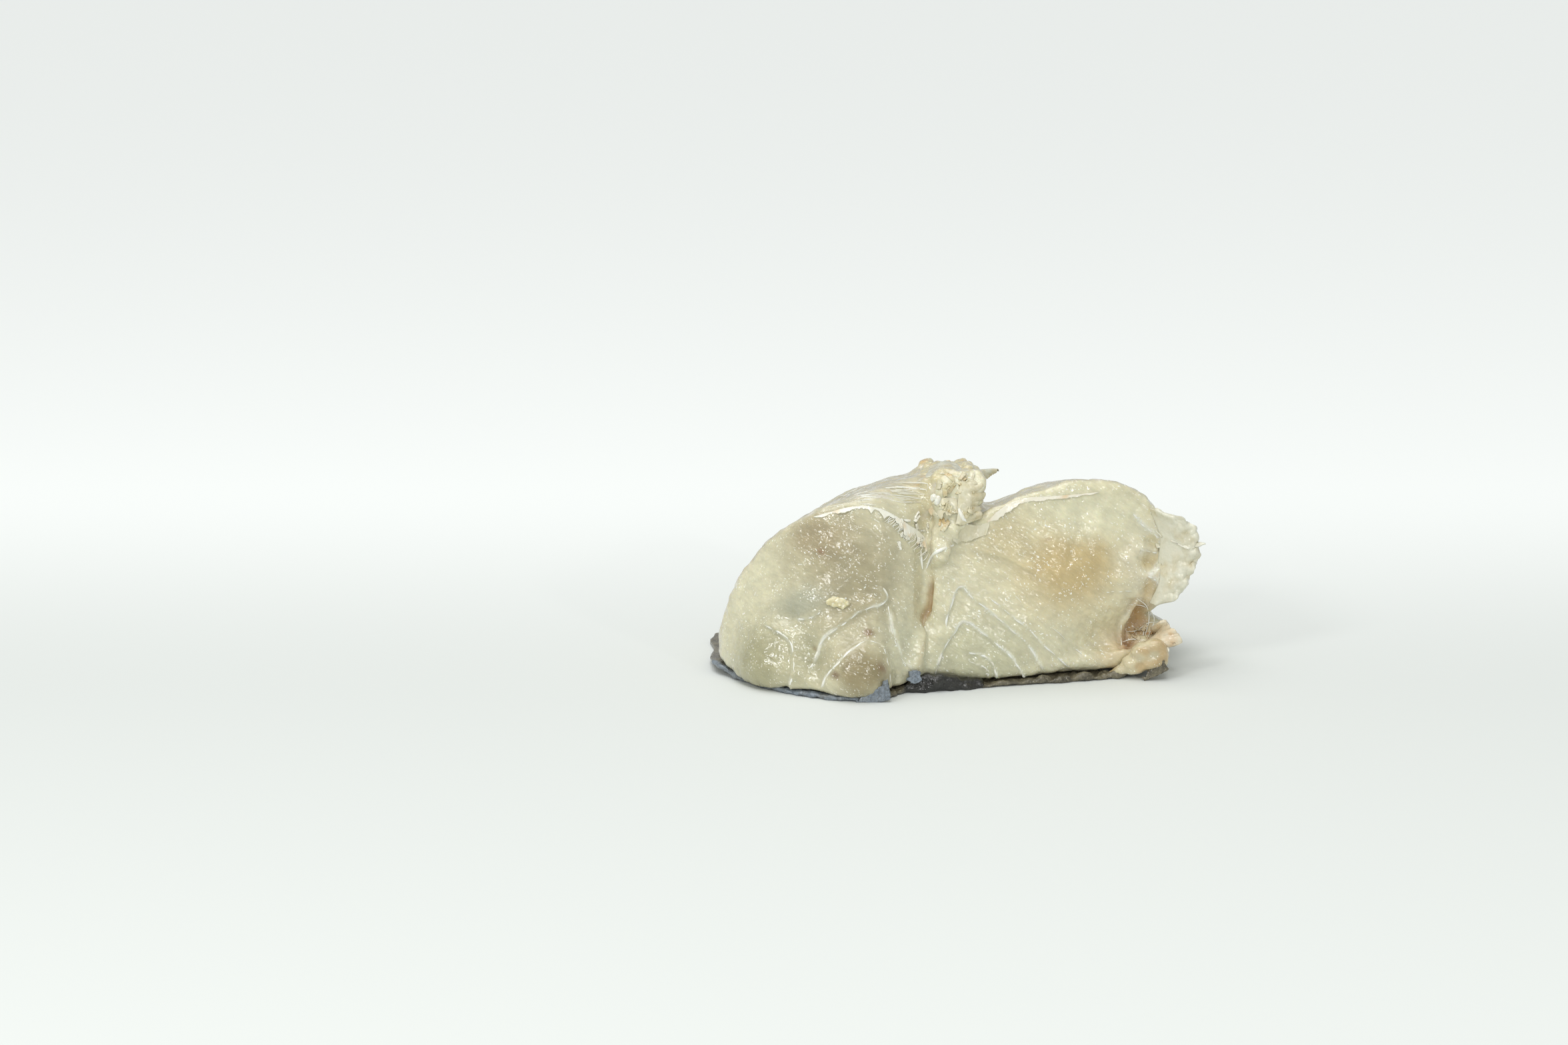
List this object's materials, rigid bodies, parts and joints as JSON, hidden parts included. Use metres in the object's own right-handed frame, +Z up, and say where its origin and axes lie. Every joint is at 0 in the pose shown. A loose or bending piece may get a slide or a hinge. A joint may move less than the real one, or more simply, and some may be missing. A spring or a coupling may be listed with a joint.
{
  "type": "salted cod loin cut",
  "caption": "Thick cross-cut of split salted cod: paired back loins with flaky cut faces, torn ridge tissue and dark skin underneath.",
  "frame": {"origin": "middle of the part's box, on the surface that the skin rests on", "axes": "+X across the fish towards its torn outer flake, +Y along the fish from the near cut face to the far one, +Z up out of the flesh"},
  "size_m": [0.1516, 0.0888, 0.0638],
  "materials": {
    "cod_flesh": "wet, slightly translucent",
    "cod_skin": "damp, fine-grained"
  },
  "bodies": {
    "root": {"flesh": "cod_flesh", "skin": "cod_skin"}
  },
  "joints": []
}
